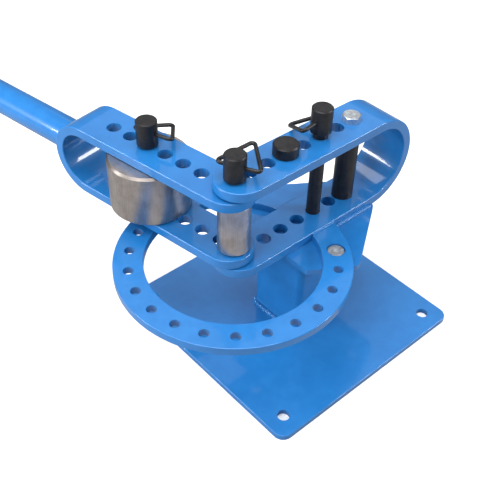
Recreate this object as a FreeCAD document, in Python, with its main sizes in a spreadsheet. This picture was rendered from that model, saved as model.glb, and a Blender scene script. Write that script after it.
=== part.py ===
"""Hand-operated bar and pipe bender for a bench or floor.

A square base plate carries a post, a bracket plate, a C-shaped index ring and a fixed U-frame of flat
bar.  A second, smaller U-frame swings inside the fixed one about the centre pin and is pulled round by
a tube handle.  Round dies stand on removable pins between the legs of the two frames.

Millimetres, +Z up.  Origin: centre of the base plate, on its underside.  +X runs along the fixed frame,
from the pivot towards its bend.
"""
import FreeCAD, Part
import math
import os
import Sketcher

Vector = FreeCAD.Vector
Rotation = FreeCAD.Rotation
Placement = FreeCAD.Placement

doc = FreeCAD.newDocument("bar_bender")

# ---------------------------------------------------------------------------------------- sizes

SIZES = {
    # base plate
    "plate_side": 250.0,
    "plate_thick": 6.0,
    "plate_corner": 11.0,
    "plate_hole_radius": 6.25,
    "plate_hole_offset": 104.5,
    # post: square tube standing on the plate
    "post_side": 66.0,
    "post_wall": 4.0,
    "post_corner": 7.0,
    "post_centre_x": 10.0,
    "post_centre_y": -4.0,
    "post_height": 105.0,
    "weld_leg": 5.0,
    # pivot and bracket plate
    "pivot_x": -80.0,
    "bracket_thick": 6.0,
    "bracket_corner": 10.0,
    # index ring
    "ring_thick": 8.0,
    "ring_inner": 85.5,
    "ring_outer": 114.5,
    "ring_hole_circle": 100.0,
    "ring_hole_radius": 5.0,
    "ring_hole_step": 16.0,
    "ring_hole_start": 38.34,
    "ring_hole_count": 18.0,
    "ring_bolt_angle": -33.66,
    "counterbore_radius": 9.2,
    "counterbore_depth": 5.0,
    # flat bar frames
    "bar_width": 50.0,
    "bar_thick": 10.0,
    "bar_edge": 1.0,
    "leg_end_shift": 6.5,
    "fixed_low": 117.0,
    "fixed_span": 100.6,
    "fixed_bend": 168.7,
    "swing_low": 128.6,
    "swing_span": 77.4,
    "swing_bend": 175.0,
    "swing_angle": 99.65,
    "arm_hole_radius": 7.4,
    "arm_hole_first": 16.3,
    "arm_hole_step": 22.5,
    "fixed_hole_count": 6.0,
    "swing_hole_count": 7.0,
    # pins, dies and fasteners
    "pin_radius": 7.0,
    "pin_head_radius": 10.4,
    "pin_head_height": 28.0,
    "long_pin_length": 104.4,
    "short_pin_length": 78.0,
    "bail_hole_height": 15.0,
    "bail_hole_radius": 2.1,
    "bail_wire_radius": 2.0,
    "bail_side": 44.0,
    "bail_bend": 3.0,
    "die_bore_radius": 7.2,
    "centre_die_radius": 15.875,
    "large_die_radius": 40.5,
    "die_chamfer": 2.2,
    "die_gap": 0.4,
    "die_position": 106.3,
    "peg_position": 61.3,
    "peg_cap_radius": 12.5,
    "peg_cap_height": 12.0,
    "spacer_position": 149.0,
    "spacer_radius": 10.9,
    "bolt_radius": 5.0,
    "bolt_hole_radius": 5.3,
    "bolt_head_height": 6.4,
    "bolt_flats": 17.0,
    "nut_height": 8.0,
    "ring_head_radius": 8.5,
    "ring_head_height": 3.6,
    "washer_radius": 15.0,
    "washer_thick": 1.5,
    # handle
    "handle_radius": 16.7,
    "handle_wall": 3.2,
    "handle_end": 900.0,
}

sheet = doc.addObject("Spreadsheet::Sheet", "Sizes")
for row, (word, number) in enumerate(SIZES.items(), start=1):
    sheet.set("A%d" % row, word)
    sheet.set("B%d" % row, str(number))
    sheet.setAlias("B%d" % row, word)
doc.recompute()


def size(word):
    """The number in the sheet under this alias."""
    return float(sheet.get(word))


# Heights that follow from the sheet.
bracket_low = size("fixed_low") - size("bracket_thick")
fixed_top = size("fixed_low") + size("fixed_span")
fixed_gap_low = size("fixed_low") + size("bar_thick")
fixed_gap_high = fixed_top - size("bar_thick")
swing_top = size("swing_low") + size("swing_span")
swing_gap_low = size("swing_low") + size("bar_thick")
swing_gap_high = swing_top - size("bar_thick")
ring_top = size("fixed_low") + size("ring_thick")
pivot = Vector(size("pivot_x"), 0, 0)

parts = []


# -------------------------------------------------------------------------------------- helpers

def new_body(label):
    """An empty body whose label names its file."""
    body = doc.addObject("PartDesign::Body", "Body_" + label)
    body.Label = label
    parts.append(body)
    return body


def origin_plane(body, role):
    for feature in body.Origin.OriginFeatures:
        if feature.Role == role:
            return feature
    raise ValueError("no plane " + role)


def new_sketch(body, role="XY_Plane", lift=0.0):
    """A sketch on one of the body's own planes, lifted along the plane's normal."""
    sketch = body.newObject("Sketcher::SketchObject", "Sketch_" + body.Label)
    sketch.AttachmentSupport = [(origin_plane(body, role), "")]
    sketch.MapMode = "FlatFace"
    sketch.AttachmentOffset = Placement(Vector(0, 0, lift), Rotation())
    return sketch


def add_circle(sketch, x, y, radius, bound=None):
    """A circle; bound is the sheet's word for its radius."""
    index = sketch.addGeometry(Part.Circle(Vector(x, y, 0), Vector(0, 0, 1), radius), False)
    if bound:
        number = sketch.addConstraint(Sketcher.Constraint("Radius", index, radius))
        sketch.renameConstraint(number, "radius_%d" % index)
        sketch.setExpression("Constraints.radius_%d" % index, "Sizes." + bound)
    return index


def add_outline(sketch, corners, radii):
    """A closed outline of straight sides, each corner rounded with its own radius (0 keeps it sharp)."""
    count = len(corners)
    starts = []
    ends = []
    arcs = []
    for i in range(count):
        corner = Vector(*corners[i], 0)
        before = Vector(*corners[i - 1], 0) - corner
        after = Vector(*corners[(i + 1) % count], 0) - corner
        before.normalize()
        after.normalize()
        if radii[i] <= 0:
            starts.append(corner)
            ends.append(corner)
            arcs.append(None)
            continue
        half = before.getAngle(after) / 2
        reach = radii[i] / math.tan(half)
        inward = before + after
        inward.normalize()
        centre = corner + inward * (radii[i] / math.sin(half))
        starts.append(corner + before * reach)
        ends.append(corner + after * reach)
        arcs.append(Part.Arc(starts[i], centre - inward * radii[i], ends[i]))
    for i in range(count):
        if arcs[i]:
            sketch.addGeometry(arcs[i], False)
        sketch.addGeometry(Part.LineSegment(ends[i], starts[(i + 1) % count]), False)


def add_square(sketch, side, corner):
    half = side / 2
    corners = [(-half, -half), (half, -half), (half, half), (-half, half)]
    add_outline(sketch, corners, [corner] * 4)


def add_polygon(sketch, flats, sides=6):
    """A regular polygon, measured across its flats."""
    radius = flats / 2 / math.cos(math.pi / sides)
    angles = [2 * math.pi * i / sides for i in range(sides)]
    corners = [(radius * math.cos(a), radius * math.sin(a)) for a in angles]
    add_outline(sketch, corners, [0] * sides)


def add_pad(body, sketch, length, bound=None, midplane=False):
    pad = body.newObject("PartDesign::Pad", "Pad_" + body.Label)
    pad.Profile = sketch
    pad.Length = length
    if bound:
        pad.setExpression("Length", "Sizes." + bound)
    pad.Midplane = midplane
    body.Tip = pad
    doc.recompute()
    return pad


def cut_through(body, sketch):
    """A pocket through everything, both ways."""
    before = body.Shape.Volume
    pocket = body.newObject("PartDesign::Pocket", "Pocket_" + body.Label)
    pocket.Profile = sketch
    pocket.Type = "ThroughAll"
    pocket.Midplane = True
    body.Tip = pocket
    doc.recompute()
    if body.Shape.Volume > before - 0.5:
        raise RuntimeError(body.Label + ": the pocket cut nothing")
    return pocket


def cut_down(body, sketch, depth, bound=None):
    """A blind pocket below the sketch's plane."""
    before = body.Shape.Volume
    pocket = body.newObject("PartDesign::Pocket", "Pocket_" + body.Label)
    pocket.Profile = sketch
    pocket.Length = depth
    if bound:
        pocket.setExpression("Length", "Sizes." + bound)
    body.Tip = pocket
    doc.recompute()
    if body.Shape.Volume > before - 0.5:
        raise RuntimeError(body.Label + ": the pocket cut nothing")
    return pocket


def revolve(body, points, axis_role="Z_Axis"):
    """A solid turned about the body's Z axis from (radius, height) corners."""
    sketch = new_sketch(body, "XZ_Plane")
    add_outline(sketch, points, [0] * len(points))
    turned = body.newObject("PartDesign::Revolution", "Turned_" + body.Label)
    turned.Profile = sketch
    turned.ReferenceAxis = (origin_plane(body, axis_role), [""])
    turned.Angle = 360.0
    body.Tip = turned
    doc.recompute()
    return turned


def dress(body, kind, value, chosen, bound=None):
    """A fillet or chamfer on the edges that chosen(edge) picks."""
    base = body.Tip
    names = []
    for number, edge in enumerate(base.Shape.Edges, start=1):
        if chosen(edge):
            names.append("Edge%d" % number)
    if not names:
        raise RuntimeError(body.Label + ": no edge to dress")
    feature = body.newObject("PartDesign::" + kind, kind + "_" + body.Label)
    feature.Base = (base, names)
    field = "Radius" if kind == "Fillet" else "Size"
    setattr(feature, field, value)
    if bound:
        feature.setExpression(field, "Sizes." + bound)
    body.Tip = feature
    doc.recompute()
    return feature


def edge_height(edge):
    """The height of a level edge, or None if it isn't level."""
    box = edge.BoundBox
    return box.ZMin if box.ZLength < 1e-6 else None


def at_height(level):
    return lambda edge: edge_height(edge) is not None and abs(edge_height(edge) - level) < 1e-4


def on_arm(angle, distance, height=0.0):
    """A point on the centre line of an arm that leaves the pivot at this angle."""
    turn = math.radians(angle)
    return pivot + Vector(distance * math.cos(turn), distance * math.sin(turn), height)


def place(body, position, angle=0.0):
    body.Placement = Placement(position, Rotation(Vector(0, 0, 1), angle))


# ------------------------------------------------------------------------- base plate and post

def make_base_plate():
    body = new_body("base_plate")
    sketch = new_sketch(body)
    add_square(sketch, size("plate_side"), size("plate_corner"))
    add_pad(body, sketch, size("plate_thick"), "plate_thick")
    holes = new_sketch(body)
    offset = size("plate_hole_offset")
    for x in (-offset, offset):
        for y in (-offset, offset):
            add_circle(holes, x, y, size("plate_hole_radius"), "plate_hole_radius")
    cut_through(body, holes)
    rim = size("plate_side") / 2 - 1
    top = at_height(size("plate_thick"))
    dress(body, "Fillet", 0.8, lambda e: top(e) and max(e.BoundBox.XMax, -e.BoundBox.XMin,
                                                        e.BoundBox.YMax, -e.BoundBox.YMin) > rim)


def make_post():
    body = new_body("post_tube")
    sketch = new_sketch(body, lift=size("plate_thick"))
    add_square(sketch, size("post_side"), size("post_corner"))
    inner_side = size("post_side") - 2 * size("post_wall")
    add_square(sketch, inner_side, size("post_corner") - size("post_wall"))
    add_pad(body, sketch, size("post_height"), "post_height")
    place(body, Vector(size("post_centre_x"), size("post_centre_y"), 0))


def make_post_weld(label, level, upwards):
    """A fillet weld round the post, with one leg on the post and one on the plate at this level."""
    leg = size("weld_leg")
    body = new_body(label)
    sketch = new_sketch(body, lift=level if upwards else level - leg)
    add_square(sketch, size("post_side") + 2 * leg, size("post_corner") + leg)
    add_square(sketch, size("post_side"), size("post_corner"))
    add_pad(body, sketch, leg, "weld_leg")
    toe = level + leg if upwards else level - leg
    outer = size("post_side") / 2 + 0.5
    chosen = at_height(toe)
    dress(body, "Chamfer", leg - 0.4, lambda e: chosen(e) and max(
        abs(e.BoundBox.XMax), abs(e.BoundBox.XMin), abs(e.BoundBox.YMax), abs(e.BoundBox.YMin)) > outer)
    place(body, Vector(size("post_centre_x"), size("post_centre_y"), 0))


def make_bracket():
    """The shield-shaped plate between the post and the fixed frame, drawn from the pivot."""
    body = new_body("bracket_plate")
    sketch = new_sketch(body, lift=bracket_low)
    corners = [(47, -52.4), (90, -80.9), (172, -26), (172, 26), (90, 80.9), (47, 52.4)]
    corner = size("bracket_corner")
    add_outline(sketch, corners, [2, corner, corner, corner, corner, 2])
    add_pad(body, sketch, size("bracket_thick"), "bracket_thick")
    holes = new_sketch(body)
    turn = math.radians(size("ring_bolt_angle"))
    circle = size("ring_hole_circle")
    for x, y in ((circle * math.cos(turn), circle * math.sin(turn)), (size("spacer_position"), 0)):
        add_circle(holes, x, y, size("bolt_hole_radius"), "bolt_hole_radius")
    cut_through(body, holes)
    place(body, pivot)


# ---------------------------------------------------------------------------------- index ring

def make_index_ring():
    """A ring open at the fixed frame's lower leg, with index holes every sixteen degrees."""
    body = new_body("index_ring")
    sketch = new_sketch(body, lift=size("fixed_low"))
    half = size("bar_width") / 2
    inner = size("ring_inner")
    outer = size("ring_outer")
    inner_x = math.sqrt(inner ** 2 - half ** 2)
    outer_x = math.sqrt(outer ** 2 - half ** 2)
    ends = [Vector(inner_x, half, 0), Vector(outer_x, half, 0),
            Vector(outer_x, -half, 0), Vector(inner_x, -half, 0)]
    sketch.addGeometry(Part.LineSegment(ends[0], ends[1]), False)
    sketch.addGeometry(Part.Arc(ends[1], Vector(-outer, 0, 0), ends[2]), False)
    sketch.addGeometry(Part.LineSegment(ends[2], ends[3]), False)
    sketch.addGeometry(Part.Arc(ends[3], Vector(-inner, 0, 0), ends[0]), False)
    add_pad(body, sketch, size("ring_thick"), "ring_thick")

    turn = math.radians(size("ring_bolt_angle"))
    circle = size("ring_hole_circle")
    x = circle * math.cos(turn)
    y = circle * math.sin(turn)
    bolt_hole = new_sketch(body)
    add_circle(bolt_hole, x, y, size("bolt_hole_radius"), "bolt_hole_radius")
    cut_through(body, bolt_hole)
    counterbore = new_sketch(body, lift=ring_top)
    add_circle(counterbore, x, y, size("counterbore_radius"), "counterbore_radius")
    cut_down(body, counterbore, size("counterbore_depth"), "counterbore_depth")

    chosen = at_height(ring_top)
    dress(body, "Fillet", 0.8, lambda e: chosen(e) and e.Length > 200)

    start = math.radians(size("ring_hole_start"))
    first = new_sketch(body)
    add_circle(first, circle * math.cos(start), circle * math.sin(start),
               size("ring_hole_radius"), "ring_hole_radius")
    pocket = cut_through(body, first)
    pattern = body.newObject("PartDesign::PolarPattern", "Index_holes")
    pattern.Originals = [pocket]
    pattern.Axis = (origin_plane(body, "Z_Axis"), [""])
    pattern.setExpression("Occurrences", "Sizes.ring_hole_count")
    pattern.setExpression("Angle", "Sizes.ring_hole_step * (Sizes.ring_hole_count - 1)")
    body.Tip = pattern
    place(body, pivot)


# ------------------------------------------------------------------------------- bar U-frames

def make_frame(label, low_word, span_word, bend_word, count_word, angle, extra_hole=None):
    """A flat bar bent into a U on its side: two level legs, pierced in pairs, and a half-round bend."""
    body = new_body(label)
    low = size(low_word)
    span = size(span_word)
    bend = size(bend_word)
    thick = size("bar_thick")
    half = size("bar_width") / 2
    middle = low + span / 2
    outer = span / 2
    inner = outer - thick
    start = size("leg_end_shift") - half

    side = new_sketch(body, "XZ_Plane")

    def at(x, z):
        return Vector(x, z, 0)

    side.addGeometry(Part.LineSegment(at(start, low), at(bend, low)), False)
    side.addGeometry(Part.Arc(at(bend, low), at(bend + outer, middle), at(bend, low + span)), False)
    side.addGeometry(Part.LineSegment(at(bend, low + span), at(start, low + span)), False)
    side.addGeometry(Part.LineSegment(at(start, low + span), at(start, low + span - thick)), False)
    side.addGeometry(Part.LineSegment(at(start, low + span - thick), at(bend, low + span - thick)), False)
    side.addGeometry(Part.Arc(at(bend, low + span - thick), at(bend + inner, middle),
                              at(bend, low + thick)), False)
    side.addGeometry(Part.LineSegment(at(bend, low + thick), at(start, low + thick)), False)
    side.addGeometry(Part.LineSegment(at(start, low + thick), at(start, low)), False)
    add_pad(body, side, size("bar_width"), "bar_width", midplane=True)

    # Round the ends of both legs.
    ends = new_sketch(body)
    centre = size("leg_end_shift")
    ends.addGeometry(Part.Arc(Vector(centre, half, 0), Vector(start, 0, 0), Vector(centre, -half, 0)), False)
    clear = half + 5
    corners = [(centre, -half), (centre, -clear), (start - 5, -clear),
               (start - 5, clear), (centre, clear), (centre, half)]
    for a, b in zip(corners, corners[1:]):
        ends.addGeometry(Part.LineSegment(Vector(*a, 0), Vector(*b, 0)), False)
    cut_through(body, ends)

    # Rolled edges of the bar: every long edge, but not the short ones.
    dress(body, "Fillet", size("bar_edge"),
          lambda e: abs(abs(e.CenterOfMass.y) - half) < 0.01 and e.Length > 60
          or e.BoundBox.XMax < centre + 0.01 and edge_height(e) is not None,
          "bar_edge")

    holes = new_sketch(body)
    add_circle(holes, 0, 0, size("arm_hole_radius"), "arm_hole_radius")
    for i in range(int(size(count_word))):
        distance = size("arm_hole_first") + i * size("arm_hole_step")
        add_circle(holes, distance, 0, size("arm_hole_radius"), "arm_hole_radius")
    if extra_hole:
        add_circle(holes, extra_hole, 0, size("bolt_hole_radius"), "bolt_hole_radius")
    pocket = cut_through(body, holes)
    place(body, pivot, angle)
    return pocket


# ------------------------------------------------------------------------- turned and bent parts

def make_pin(label, position, shank, turn):
    """A pin with a thick head, cross-drilled for its wire bail.  Its origin is under the head."""
    body = new_body(label)
    radius = size("pin_radius")
    head = size("pin_head_radius")
    height = size("pin_head_height")
    revolve(body, [(0, -shank), (radius - 1.5, -shank), (radius, -shank + 1.5), (radius, 0),
                   (head - 2.6, 0), (head, 2.6), (head, height - 0.9), (head - 0.9, height), (0, height)])
    cross = new_sketch(body, "YZ_Plane")
    add_circle(cross, 0, size("bail_hole_height"), size("bail_hole_radius"), "bail_hole_radius")
    cut_through(body, cross)
    place(body, position, turn)


def make_bail(label, position, turn, slide, tilt):
    """A closed wire triangle.  One side runs through the pin's cross hole, along the local X axis."""
    body = new_body(label)
    side = size("bail_side")
    bend = size("bail_bend")
    height = side * math.sqrt(3) / 2
    corners = [(-side / 2 + slide, 0), (side / 2 + slide, 0), (slide, height)]
    path = new_sketch(body)
    add_outline(path, corners, [bend] * 3)
    profile = new_sketch(body, "YZ_Plane")
    add_circle(profile, 0, 0, size("bail_wire_radius"), "bail_wire_radius")
    pipe = body.newObject("PartDesign::AdditivePipe", "Wire_" + label)
    pipe.Profile = profile
    pipe.Spine = (path, ["Edge%d" % (n + 1) for n in range(len(path.Shape.Edges))])
    body.Tip = pipe
    doc.recompute()
    upright = Rotation(Vector(0, 0, 1), turn).multiply(Rotation(Vector(1, 0, 0), tilt))
    body.Placement = Placement(position + Vector(0, 0, size("bail_hole_height")), upright)


def make_die(label, position, radius_word):
    """A plain round die between the swing frame's legs."""
    edge = size("die_chamfer")
    low = swing_gap_low + size("die_gap")
    high = swing_gap_high - size("die_gap")
    radius = size(radius_word)
    bore = size("die_bore_radius")
    body = new_body(label)
    revolve(body, [(bore + 1, low), (radius - edge, low), (radius, low + edge), (radius, high - edge),
                   (radius - edge, high), (bore + 1, high), (bore, high - 1), (bore, low + 1)])
    place(body, position)


def make_sleeve():
    body = new_body("spacer_sleeve")
    sketch = new_sketch(body, lift=fixed_gap_low)
    add_circle(sketch, 0, 0, size("spacer_radius"), "spacer_radius")
    add_circle(sketch, 0, 0, size("bolt_hole_radius"), "bolt_hole_radius")
    add_pad(body, sketch, fixed_gap_high - fixed_gap_low)
    place(body, on_arm(0, size("spacer_position")))


def make_washer(label, level):
    body = new_body(label)
    sketch = new_sketch(body, lift=level)
    add_circle(sketch, 0, 0, size("washer_radius"), "washer_radius")
    add_circle(sketch, 0, 0, size("arm_hole_radius"), "arm_hole_radius")
    add_pad(body, sketch, size("washer_thick"), "washer_thick")
    place(body, pivot)


def make_peg():
    """A low cap on a short shank that fills one hole of the top leg."""
    body = new_body("stop_peg")
    cap = size("peg_cap_radius")
    height = size("peg_cap_height")
    radius = size("pin_radius")
    shank = size("bar_thick") - 0.5
    revolve(body, [(0, -shank), (radius - 1, -shank), (radius, -shank + 1), (radius, 0), (cap - 0.8, 0),
                   (cap, 0.8), (cap, height - 1.2), (cap - 1.2, height), (0, height)])
    place(body, on_arm(0, size("peg_position"), fixed_top))


def cone_trim(body, level, flats, upwards):
    """Turn down the corners of a hexagon at one of its faces, as on a bolt head or nut."""
    corner = flats / 2 / math.cos(math.pi / 6)
    flat = flats / 2 - 0.3
    drop = (corner - flat) * math.tan(math.radians(30))
    sign = -1 if upwards else 1
    sketch = new_sketch(body, "XZ_Plane")
    points = [(flat, level), (corner + 1, level), (corner + 1, level + sign * (drop + 0.58))]
    add_outline(sketch, points, [0] * 3)
    groove = body.newObject("PartDesign::Groove", "Trim_" + body.Label)
    groove.Profile = sketch
    groove.ReferenceAxis = (origin_plane(body, "Z_Axis"), [""])
    groove.Angle = 360.0
    before = body.Shape.Volume
    body.Tip = groove
    doc.recompute()
    if body.Shape.Volume > before - 0.5:
        raise RuntimeError(body.Label + ": the trim cut nothing")


def make_hex_bolt(label, position, shank, turn):
    """A hexagon-headed bolt.  Its origin is under the head."""
    body = new_body(label)
    radius = size("bolt_radius")
    sketch = new_sketch(body)
    add_polygon(sketch, size("bolt_flats"))
    add_pad(body, sketch, size("bolt_head_height"), "bolt_head_height")
    cone_trim(body, size("bolt_head_height"), size("bolt_flats"), upwards=True)
    stem = new_sketch(body, lift=-shank)
    add_circle(stem, 0, 0, radius, "bolt_radius")
    add_pad(body, stem, shank)
    chosen = at_height(-shank)
    dress(body, "Chamfer", 1.0, chosen)
    place(body, position, turn)


def make_nut(label, position, turn):
    """A hexagon nut hanging below the bracket plate.  Its origin is on its upper face."""
    body = new_body(label)
    height = size("nut_height")
    sketch = new_sketch(body, lift=-height)
    add_polygon(sketch, size("bolt_flats"))
    add_circle(sketch, 0, 0, size("bolt_radius"), "bolt_radius")
    add_pad(body, sketch, height, "nut_height")
    cone_trim(body, -height, size("bolt_flats"), upwards=False)
    place(body, position, turn)


def make_ring_bolt(position, shank):
    """The recessed screw that holds the ring to the bracket plate.  Its origin is under the head."""
    body = new_body("ring_bolt")
    head = size("ring_head_radius")
    height = size("ring_head_height")
    radius = size("bolt_radius")
    revolve(body, [(0, -shank), (radius - 1, -shank), (radius, -shank + 1), (radius, 0), (head - 0.3, 0),
                   (head, 0.3), (head, height - 0.7), (head - 0.7, height), (0, height)])
    socket = new_sketch(body, lift=height)
    add_polygon(socket, 6.0)
    cut_down(body, socket, 2.4)
    place(body, position, 12)


# -------------------------------------------------------------------------------------- handle

def saddle_cut(body):
    """Cope the body's inner end to the outside of the swing frame's bend."""
    sketch = new_sketch(body, "XZ_Plane")
    add_circle(sketch, size("swing_bend"), size("swing_low") + size("swing_span") / 2, size("swing_span") / 2)
    cut_through(body, sketch)


def make_handle():
    """A tube that leaves the swing frame's bend along the arm."""
    middle = size("swing_low") + size("swing_span") / 2
    length = size("handle_end") - size("swing_bend") - 30
    body = new_body("handle_tube")
    sketch = new_sketch(body, "YZ_Plane", lift=size("swing_bend") + 30)
    add_circle(sketch, 0, middle, size("handle_radius"), "handle_radius")
    add_circle(sketch, 0, middle, size("handle_radius") - size("handle_wall"))
    add_pad(body, sketch, length)
    saddle_cut(body)
    place(body, pivot, size("swing_angle"))


def make_handle_weld():
    """A fillet weld round the foot of the handle."""
    middle = size("swing_low") + size("swing_span") / 2
    radius = size("handle_radius")
    leg = size("weld_leg")
    tip = size("swing_bend") + size("swing_span") / 2
    body = new_body("handle_weld")
    sketch = new_sketch(body, "XZ_Plane")
    points = [(tip - 7, middle + radius), (tip + leg, middle + radius), (tip - 1, middle + radius + leg),
              (tip - 7, middle + radius + leg)]
    add_outline(sketch, points, [0] * 4)
    line = Part.LineSegment(Vector(tip, middle, 0), Vector(tip + 20, middle, 0))
    sketch.addGeometry(line, True)
    turned = body.newObject("PartDesign::Revolution", "Turned_" + body.Label)
    turned.Profile = sketch
    turned.ReferenceAxis = (sketch, ["Axis0"])
    turned.Angle = 360.0
    body.Tip = turned
    doc.recompute()
    saddle_cut(body)
    place(body, pivot, size("swing_angle"))


def make_handle_plug():
    """A push-in plug that closes the handle's outer end."""
    middle = size("swing_low") + size("swing_span") / 2
    body = new_body("handle_end_plug")
    rim = new_sketch(body, "YZ_Plane", lift=size("handle_end"))
    add_circle(rim, 0, middle, size("handle_radius"), "handle_radius")
    add_pad(body, rim, 3.0)
    stem = new_sketch(body, "YZ_Plane", lift=size("handle_end") - 18)
    add_circle(stem, 0, middle, size("handle_radius") - size("handle_wall"))
    add_pad(body, stem, 19.0)
    far = size("handle_end") + 3.0
    dress(body, "Fillet", 1.5, lambda e: e.BoundBox.XLength < 1e-6 and abs(e.BoundBox.XMin - far) < 1e-4)
    place(body, pivot, size("swing_angle"))


# ---------------------------------------------------------------------------------- build it all

# Each removable pin: its place, the turn of its cross hole, how far its bail has slid, the bail's tilt.
centre_spot = on_arm(0, 0, fixed_top)
die_spot = on_arm(size("swing_angle"), size("die_position"), swing_top)
stop_spot = on_arm(0, size("die_position"), size("fixed_low") + size("long_pin_length") + 0.1)
ring_bolt_spot = on_arm(size("ring_bolt_angle"), size("ring_hole_circle"), ring_top - size("counterbore_depth"))
spacer_spot = on_arm(0, size("spacer_position"), fixed_top)

make_base_plate()
make_post()
make_post_weld("post_base_weld", size("plate_thick"), upwards=True)
make_post_weld("post_top_weld", bracket_low, upwards=False)
make_bracket()
make_index_ring()
make_frame("fixed_frame", "fixed_low", "fixed_span", "fixed_bend", "fixed_hole_count", 0,
           size("spacer_position"))
make_frame("swing_frame", "swing_low", "swing_span", "swing_bend", "swing_hole_count", size("swing_angle"))

make_ring_bolt(ring_bolt_spot, ring_bolt_spot.z - bracket_low + size("nut_height") + 3)
make_nut("ring_bolt_nut", on_arm(size("ring_bolt_angle"), size("ring_hole_circle"), bracket_low), 20)
make_sleeve()
make_hex_bolt("spacer_bolt", spacer_spot, fixed_top - bracket_low + size("nut_height") + 3, 17)
make_nut("spacer_bolt_nut", on_arm(0, size("spacer_position"), bracket_low), 5)
make_washer("pivot_washer_lower", fixed_gap_low)
make_washer("pivot_washer_upper", swing_top)

make_pin("centre_pin", centre_spot, size("long_pin_length"), -63.7)
make_bail("centre_pin_bail", centre_spot, -63.7, 2.9, 4)
make_die("centre_die", on_arm(0, 0), "centre_die_radius")
make_pin("die_pin", die_spot, size("short_pin_length"), -69.3)
make_bail("die_pin_bail", die_spot, -69.3, 6.0, -17)
make_die("large_die", on_arm(size("swing_angle"), size("die_position")), "large_die_radius")
make_pin("stop_pin", stop_spot, size("long_pin_length"), 8)
make_bail("stop_pin_bail", stop_spot, 8, -6.0, -29)
make_peg()

make_handle()
make_handle_weld()
make_handle_plug()

doc.recompute()

# ------------------------------------------------------------------------------ check and write

for item in doc.Objects:
    if "Invalid" in item.State or "Error" in item.State:
        raise RuntimeError("%s (%s) failed: %s" % (item.Name, item.Label, item.State))

os.makedirs("parts", exist_ok=True)
for part in parts:
    shape = part.Shape
    if shape.isNull() or not shape.isValid():
        raise RuntimeError(part.Label + " is not a valid shape")
    if len(shape.Solids) != 1:
        raise RuntimeError("%s has %d solids" % (part.Label, len(shape.Solids)))
    shape.exportStep("parts/%s.step" % part.Label)
    print("%-20s %10.0f mm3" % (part.Label, shape.Volume))
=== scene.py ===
"""Looks of the bar bender: painted plate and flat bar, turned steel dies, blacked pins, zinc-plated bolts."""

import math

import bmesh
import bpy
from mathutils import Matrix, Vector


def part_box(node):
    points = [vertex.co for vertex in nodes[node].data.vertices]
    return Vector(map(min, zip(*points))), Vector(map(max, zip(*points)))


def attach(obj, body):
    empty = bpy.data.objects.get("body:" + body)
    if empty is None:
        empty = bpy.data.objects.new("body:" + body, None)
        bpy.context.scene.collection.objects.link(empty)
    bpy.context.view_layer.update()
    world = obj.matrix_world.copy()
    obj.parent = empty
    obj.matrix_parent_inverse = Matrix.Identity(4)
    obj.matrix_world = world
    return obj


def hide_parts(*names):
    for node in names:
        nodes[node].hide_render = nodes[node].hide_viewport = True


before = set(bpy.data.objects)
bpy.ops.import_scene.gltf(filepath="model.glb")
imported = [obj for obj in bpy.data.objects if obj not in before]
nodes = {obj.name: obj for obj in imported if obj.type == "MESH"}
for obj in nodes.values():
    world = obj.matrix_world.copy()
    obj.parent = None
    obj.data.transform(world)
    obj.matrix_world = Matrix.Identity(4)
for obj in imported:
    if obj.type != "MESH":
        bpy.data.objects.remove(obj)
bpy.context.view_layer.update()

MM = 0.001
UP = Vector((0, 0, 1))

POST_BEAD = 3.0 * MM          # bead radii
BRACKET_BEAD = 3.2 * MM
RING_BEAD = 1.7 * MM
HANDLE_BEAD = 3.0 * MM
POST_CORNER = 7.8 * MM        # the bead's path round the post's corners
PROUD = 0.8 * MM              # how far a bead's middle stands off the pieces it joins
RING_INNER = 82.5 * MM        # the ring's width, from the pivot
RING_OUTER = 111.0 * MM
SWING_BEND = 175 * MM         # from the pivot to the middle of the swing frame's bend


# ------------------------------------------------------------------------------ shader writing

class Value:
    """A shader socket that takes part in sums and products."""

    def __init__(self, tree, socket):
        self.tree = tree
        self.socket = socket

    def _math(self, operation, *others):
        node = self.tree.nodes.new("ShaderNodeMath")
        node.operation = operation
        for slot, item in zip(node.inputs, (self,) + others):
            put(self.tree, slot, item)
        return Value(self.tree, node.outputs[0])

    def __add__(self, other):
        return self._math("ADD", other)

    def __radd__(self, other):
        return self._math("ADD", other)

    def __mul__(self, other):
        return self._math("MULTIPLY", other)

    def __rmul__(self, other):
        return self._math("MULTIPLY", other)

    def root(self):
        return self._math("SQRT")

    def soft_step(self, low, high):
        """0 below low, 1 above high, smooth between."""
        node = self.tree.nodes.new("ShaderNodeMapRange")
        node.interpolation_type = "SMOOTHSTEP"
        put(self.tree, node.inputs["Value"], self)
        node.inputs["From Min"].default_value = low
        node.inputs["From Max"].default_value = high
        return Value(self.tree, node.outputs[0])


def put(tree, slot, item):
    """Links a value to a socket, or sets the socket's own number or colour."""
    if isinstance(item, Value):
        tree.links.new(item.socket, slot)
    else:
        slot.default_value = item


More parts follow.
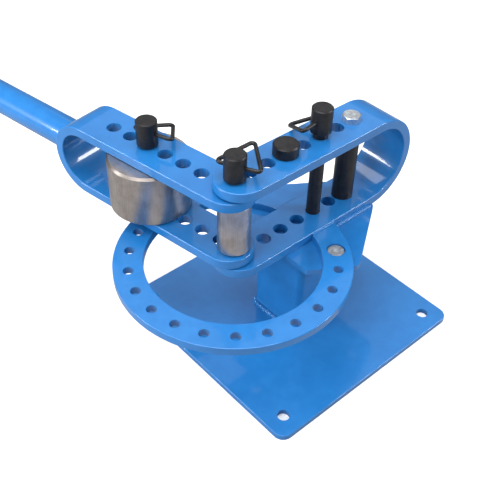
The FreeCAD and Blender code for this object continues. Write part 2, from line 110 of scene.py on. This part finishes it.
class Paintbox:
    """One material, with one method for any node."""

    def __init__(self, name):
        self.material = bpy.data.materials.new(name)
        self.material.use_nodes = True
        self.tree = self.material.node_tree
        self.shader = self.tree.nodes["Principled BSDF"]
        self.place = self.node("ShaderNodeTexCoord", out="Object")

    def node(self, kind, out=0, settings=None, **sockets):
        node = self.tree.nodes.new(kind)
        for field, item in (settings or {}).items():
            setattr(node, field, item)
        for title, item in sockets.items():
            put(self.tree, node.inputs[title.replace("_", " ")], item)
        return Value(self.tree, node.outputs[out])

    def noise(self, scale, detail=3.0, roughness=0.5, stretch=(1, 1, 1)):
        vector = self.place
        if stretch != (1, 1, 1):
            vector = self.node("ShaderNodeMapping", Vector=self.place, Scale=stretch)
        return self.node("ShaderNodeTexNoise", out="Fac", Vector=vector, Scale=scale, Detail=detail,
                         Roughness=roughness)

    def mix(self, share, first, second):
        node = self.tree.nodes.new("ShaderNodeMix")
        node.data_type = "RGBA"
        put(self.tree, node.inputs[0], share)
        put(self.tree, node.inputs[6], first)
        put(self.tree, node.inputs[7], second)
        return Value(self.tree, node.outputs[2])

    def bump(self, height, strength, distance):
        node = self.tree.nodes.new("ShaderNodeBump")
        node.inputs["Strength"].default_value = strength
        node.inputs["Distance"].default_value = distance
        put(self.tree, node.inputs["Height"], height)
        return Value(self.tree, node.outputs[0])

    def split(self, centre):
        """The place on the piece as three numbers, measured from a centre, in metres."""
        moved = self.node("ShaderNodeMapping", Vector=self.place, Location=tuple(-c for c in centre))
        node = self.tree.nodes.new("ShaderNodeSeparateXYZ")
        put(self.tree, node.inputs[0], moved)
        return [Value(self.tree, out) for out in node.outputs]

    def finish(self, **sockets):
        for title, item in sockets.items():
            put(self.tree, self.shader.inputs[title.replace("_", " ")], item)
        return self.material


def grey(level):
    return (level, level, level, 1)


def blue_enamel(name):
    """Sprayed gloss enamel: faint orange peel and a slow drift of tone."""
    box = Paintbox(name)
    drift = box.noise(14.0, detail=2.0)
    mottle = box.noise(95.0, detail=1.0)
    deep = (0.010, 0.132, 0.385, 1)
    clear = (0.014, 0.156, 0.440, 1)
    colour = box.mix((drift * 0.6 + mottle * 0.4).soft_step(0.30, 0.72), deep, clear)
    peel = box.noise(520.0, detail=1.0, roughness=0.45)
    waves = box.noise(110.0, detail=1.0)
    relief = box.bump(peel * 0.4 + waves * 0.6, 0.10, 0.00025)
    return box.finish(Base_Color=colour, Roughness=0.30 + mottle * 0.10, Normal=relief, Coat_Weight=0.75,
                      Coat_Roughness=0.07, Specular_IOR_Level=0.30)


def turned_steel(name, centre, painted_light_gain=1.0):
    """Lathe-turned steel: fine rings on the faces and round the side, handling stains, a film of oil. The
    gain lifts a copy's colour all over: painted light, not a different steel.
    """
    box = Paintbox(name)
    x, y, z = box.split(centre)
    radius = (x * x + y * y).root()
    cut = box.node("ShaderNodeCombineXYZ", X=radius, Y=z, Z=0.0)
    rings = box.node("ShaderNodeTexNoise", out="Fac", Vector=cut, Scale=2400.0, Detail=1.0, Roughness=0.5)
    streaks = box.noise(900.0, detail=2.0, stretch=(1, 1, 0.06))
    stain = box.noise(55.0, detail=4.0, roughness=0.6)
    # The gain is painted light: it scales both tones, so one copy of this steel is painted lighter all over
    # where its die should catch more light.
    dark = (0.36 * painted_light_gain, 0.318 * painted_light_gain, 0.295 * painted_light_gain, 1)
    light = (0.56 * painted_light_gain, 0.505 * painted_light_gain, 0.478 * painted_light_gain, 1)
    colour = box.mix((stain * 0.7 + streaks * 0.3).soft_step(0.30, 0.70), dark, light)
    relief = box.bump(rings, 0.16, 0.00010)
    return box.finish(Base_Color=colour, Metallic=1.0, Roughness=0.285 + stain * 0.08 + streaks * 0.04,
                      Normal=relief)


def black_oxide(name):
    """Blacked steel: near black, slightly brown, with a dull oily sheen."""
    box = Paintbox(name)
    cloud = box.noise(140.0, detail=4.0, roughness=0.6)
    grain = box.noise(1500.0, detail=2.0)
    rub = box.noise(420.0, detail=2.0).soft_step(0.62, 0.74)
    skin = box.mix(cloud.soft_step(0.35, 0.7), (0.006, 0.006, 0.008, 1), (0.016, 0.015, 0.016, 1))
    colour = box.mix(rub * 0.35, skin, (0.05, 0.045, 0.045, 1))
    relief = box.bump(grain * 0.6 + cloud * 0.4, 0.16, 0.00012)
    return box.finish(Base_Color=colour, Metallic=0.2, Roughness=0.32 + cloud * 0.14, Normal=relief,
                      Specular_IOR_Level=0.5)


def zinc_plate(name):
    """Bright zinc with a faint, uneven spangle."""
    box = Paintbox(name)
    cloud = box.noise(260.0, detail=3.0, roughness=0.6)
    grain = box.noise(1400.0, detail=3.0)
    colour = box.mix(cloud.soft_step(0.3, 0.7), (0.44, 0.48, 0.52, 1), (0.72, 0.75, 0.78, 1))
    relief = box.bump(grain * 0.5 + cloud * 0.5, 0.40, 0.00025)
    return box.finish(Base_Color=colour, Metallic=0.9, Roughness=0.29 + cloud * 0.16, Normal=relief)


def plain_steel(name):
    """Bare stamped steel."""
    box = Paintbox(name)
    cloud = box.noise(160.0, detail=3.0)
    colour = box.mix(cloud, (0.34, 0.34, 0.35, 1), (0.50, 0.50, 0.51, 1))
    return box.finish(Base_Color=colour, Metallic=1.0, Roughness=0.34 + cloud * 0.12)


def black_plastic(name):
    """Moulded plastic with a fine grain."""
    box = Paintbox(name)
    grain = box.noise(700.0, detail=2.0)
    relief = box.bump(grain, 0.2, 0.0002)
    colour = box.mix(grain, (0.014, 0.014, 0.015, 1), (0.024, 0.024, 0.025, 1))
    return box.finish(Base_Color=colour, Roughness=0.42 + grain * 0.1, Normal=relief)


def dress(name, material):
    """Gives a CAD node its material."""
    node = nodes[name]
    node.data.materials.clear()
    node.data.materials.append(material)


def middle(name):
    low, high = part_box(name)
    return (low + high) / 2


# --------------------------------------------------------------------------------- weld beads

def show(shape, name, body, material):
    """Makes a bmesh a piece that rides on a body, with a finish."""
    mesh = bpy.data.meshes.new(name)
    shape.to_mesh(mesh)
    shape.free()
    for face in mesh.polygons:
        face.use_smooth = True
    piece = bpy.data.objects.new(name, mesh)
    bpy.context.scene.collection.objects.link(piece)
    mesh.materials.append(material)
    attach(piece, body)
    return piece


def make_ball():
    """The small ball that every ripple of a weld bead is shaped from."""
    shape = bmesh.new()
    bmesh.ops.create_uvsphere(shape, u_segments=10, v_segments=7, radius=1.0)
    ball = bpy.data.meshes.new("ripple_ball")
    shape.to_mesh(ball)
    shape.free()
    return ball


ripple_ball = make_ball()


def add_ripple(shape, place, along, reach, thick):
    """One ripple of a weld bead: a ball drawn out or flattened along the seam."""
    sideways = along.orthogonal().normalized()
    upwards = along.cross(sideways)
    turn = Matrix((along, sideways, upwards)).transposed().to_4x4()
    ball = ripple_ball.copy()
    ball.transform(Matrix.Translation(place) @ turn @ Matrix.Diagonal((reach, thick, thick, 1.0)))
    shape.from_mesh(ball)
    bpy.data.meshes.remove(ball)


def add_seam(shape, points, thick, closed=False):
    """A row of ripples along a line of points, evenly spaced, each a little different."""
    pitch = thick * 0.62
    spans = list(zip(points, points[1:] + points[:1] if closed else points[1:]))
    carried = 0.0
    number = 0
    for start, end in spans:
        length = (end - start).length
        along = (end - start).normalized()
        while carried < length:
            swell = 1.0 + 0.10 * math.sin(number * 2.4) + 0.05 * math.sin(number * 5.1)
            add_ripple(shape, start + along * carried, along, thick * 0.85, thick * swell)
            carried += pitch
            number += 1
        carried -= length


def rounded_square(centre, half, corner, height, steps=6):
    """Points round a square with rounded corners, seen from above."""
    points = []
    for quarter in range(4):
        middle_angle = math.pi / 4 + quarter * math.pi / 2
        inner = half - corner
        corner_x = inner * (1 if math.cos(middle_angle) > 0 else -1)
        corner_y = inner * (1 if math.sin(middle_angle) > 0 else -1)
        for step in range(steps + 1):
            angle = quarter * math.pi / 2 + step / steps * math.pi / 2
            points.append(Vector((centre.x + corner_x + corner * math.cos(angle),
                                  centre.y + corner_y + corner * math.sin(angle), height)))
    return points


def make_post_welds(material):
    """Ripple beads round the post, at the plate and under the bracket plate."""
    low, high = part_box("post_tube")
    centre = (low + high) / 2
    half = (high.x - low.x) / 2 + PROUD
    for name, node, height in (("post_base_bead", "post_base_weld", low.z + 0.9 * MM),
                               ("post_top_bead", "post_top_weld", high.z - 0.9 * MM)):
        shape = bmesh.new()
        add_seam(shape, rounded_square(centre, half, POST_CORNER, height), POST_BEAD, closed=True)
        bead = show(shape, name, "stand", material)
        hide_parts(node)


def make_bracket_welds(material):
    """A bead along each side of the fixed frame's lower leg, where it lies on the bracket plate."""
    low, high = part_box("fixed_frame")
    ring_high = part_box("index_ring")[1]
    plate_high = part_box("bracket_plate")[1]
    shape = bmesh.new()
    for side in (low.y - 0.6 * MM, high.y + 0.6 * MM):
        start = Vector((ring_high.x + 1.0 * MM, side, plate_high.z + 0.4 * MM))
        end = Vector((plate_high.x - 6.0 * MM, side, plate_high.z + 0.4 * MM))
        add_seam(shape, [start, end], BRACKET_BEAD)
    show(shape, "bracket_bead", "stand", material)


def make_ring_welds(material):
    """Short beads where the ends of the index ring meet the fixed frame's lower leg."""
    low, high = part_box("fixed_frame")
    ring_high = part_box("index_ring")[1]
    shape = bmesh.new()
    pivot_x = middle("centre_pin").x
    for side in (low.y - 0.3 * MM, high.y + 0.3 * MM):
        start = Vector((pivot_x + RING_INNER, side, ring_high.z))
        end = Vector((pivot_x + RING_OUTER, side, ring_high.z))
        add_seam(shape, [start, end], RING_BEAD)
    show(shape, "ring_bead", "stand", material)


def make_handle_weld(material):
    """A bead round the foot of the handle, where the tube is coped to the round of the swing frame."""
    low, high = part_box("swing_frame")
    tube_low, tube_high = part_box("handle_tube")
    plug = middle("handle_end_plug")
    pivot = middle("centre_pin")
    pivot.z = plug.z
    along = (plug - pivot).normalized()
    across = UP.cross(along)
    radius = (tube_high.z - tube_low.z) / 2
    bend_outer = (high.z - low.z) / 2
    bend_centre = pivot + along * SWING_BEND
    points = []
    for step in range(36):
        angle = step / 36 * math.tau
        rise = (radius + PROUD) * math.sin(angle)
        reach = math.sqrt(bend_outer ** 2 - rise ** 2) + PROUD
        points.append(bend_centre + along * reach + UP * rise
                      + across * (radius + PROUD) * math.cos(angle))
    shape = bmesh.new()
    add_seam(shape, points, HANDLE_BEAD, closed=True)
    bead = show(shape, "handle_bead", "swing_arm", material)
    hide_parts("handle_weld")


paint = blue_enamel("blue_paint")
for painted in ("base_plate", "post_tube", "post_base_weld", "post_top_weld", "bracket_plate", "index_ring",
                "fixed_frame", "swing_frame", "handle_tube", "handle_weld"):
    dress(painted, paint)
make_post_welds(paint)
make_bracket_welds(paint)
make_ring_welds(paint)
make_handle_weld(paint)
# The centre die's steel is painted 1.15 times lighter than the large die's: painted light, standing in for
# the light the centre die catches.
dress("centre_die", turned_steel("turned_steel_small_painted_lighter", middle("centre_die"), 1.15))
dress("large_die", turned_steel("turned_steel_large", middle("large_die")))
blacked = black_oxide("black_oxide")
for black in ("centre_pin", "die_pin", "stop_pin", "spacer_sleeve", "stop_peg", "centre_pin_bail",
              "die_pin_bail", "stop_pin_bail"):
    dress(black, blacked)
zinc = zinc_plate("zinc_plate")
for plated in ("ring_bolt", "ring_bolt_nut", "spacer_bolt", "spacer_bolt_nut"):
    dress(plated, zinc)
steel = plain_steel("plain_steel")
for washer in ("pivot_washer_lower", "pivot_washer_upper"):
    dress(washer, steel)
dress("handle_end_plug", black_plastic("black_plastic"))


# ------------------------------------------------------------------------ floor, light, camera

def pale_floor():
    """White to the eye, and a mid grey to the light that bounces off it."""
    box = Paintbox("pale_floor")
    sheet = box.finish(Base_Color=grey(0.93), Roughness=0.9, Specular_IOR_Level=0.1)
    bounce = box.node("ShaderNodeBsdfDiffuse", Color=grey(0.30))
    seen = box.node("ShaderNodeLightPath", out="Is Camera Ray")
    both = box.node("ShaderNodeMixShader", settings={"name": "Seen or bounced"}, Fac=seen)
    box.tree.links.new(bounce.socket, box.tree.nodes["Seen or bounced"].inputs[1])
    box.tree.links.new(box.shader.outputs[0], box.tree.nodes["Seen or bounced"].inputs[2])
    box.tree.links.new(both.socket, box.tree.nodes["Material Output"].inputs["Surface"])
    return sheet


def make_floor():
    shape = bmesh.new()
    bmesh.ops.create_grid(shape, x_segments=1, y_segments=1, size=6.0)
    mesh = bpy.data.meshes.new("floor")
    shape.to_mesh(mesh)
    shape.free()
    floor = bpy.data.objects.new("floor", mesh)
    bpy.context.scene.collection.objects.link(floor)
    mesh.materials.append(pale_floor())


def make_light(name, position, target, sides, power, mirrored=True):
    """A soft box. One that isn't mirrored lights the object without showing in its gloss."""
    lamp = bpy.data.lights.new(name, "AREA")
    lamp.shape = "RECTANGLE"
    lamp.size, lamp.size_y = sides
    lamp.energy = power
    item = bpy.data.objects.new(name, lamp)
    bpy.context.scene.collection.objects.link(item)
    item.location = position
    item.rotation_euler = (Vector(target) - Vector(position)).to_track_quat("-Z", "Y").to_euler()
    item.visible_glossy = mirrored


def make_world(strength):
    world = bpy.data.worlds.new("studio")
    bpy.context.scene.world = world
    world.use_nodes = True
    background = world.node_tree.nodes["Background"]
    background.inputs["Color"].default_value = grey(1.0)
    background.inputs["Strength"].default_value = strength


def make_camera():
    """Looks down at the pivot from the front left."""
    azimuth = math.radians(-43.07)
    elevation = math.radians(42.32)
    roll = math.radians(2.04)
    back = Vector((math.sin(azimuth) * math.cos(elevation), -math.cos(azimuth) * math.cos(elevation),
                   math.sin(elevation)))
    right = (-back).cross(UP).normalized()
    above = right.cross(-back)
    rolled_right = right * math.cos(roll) + above * math.sin(roll)
    rolled_above = above * math.cos(roll) - right * math.sin(roll)
    place = rolled_right * -0.0407 + rolled_above * 0.06478 + back * 0.89949
    lens = bpy.data.cameras.new("camera")
    lens.sensor_width = 36.0
    lens.lens = 58.585
    lens.clip_start = 0.01
    lens.clip_end = 50.0
    camera = bpy.data.objects.new("camera", lens)
    bpy.context.scene.collection.objects.link(camera)
    turn = Matrix((rolled_right, rolled_above, back)).transposed().to_4x4()
    camera.matrix_world = Matrix.Translation(place) @ turn
    bpy.context.scene.camera = camera


make_floor()
make_world(0.20)
make_light("overhead", (-0.35, 0.15, 2.1), (0.0, 0.0, 0.1), (2.0, 2.0), 63.0)
make_light("left_box", (-1.35, 0.77, 0.62), (0.0, 0.0, 0.15), (0.50, 0.30), 15.0)
make_light("right_box", (0.90, -0.98, 0.78), (0.0, 0.0, 0.15), (0.60, 0.34), 15.0)
make_light("front_fill", (-1.1, -1.4, 1.8), (0.0, 0.0, 0.15), (1.3, 1.0), 3.0)
make_light("left_fill", (-2.0, -0.3, 0.8), (0.0, 0.0, 0.15), (1.0, 1.4), 30.0, mirrored=False)
make_light("back_panel", (1.4, 1.5, 2.0), (0.0, 0.0, 0.15), (1.8, 1.4), 4.5)
make_camera()
bpy.context.scene.view_settings.view_transform = "Standard"
bpy.context.scene.view_settings.look = "None"
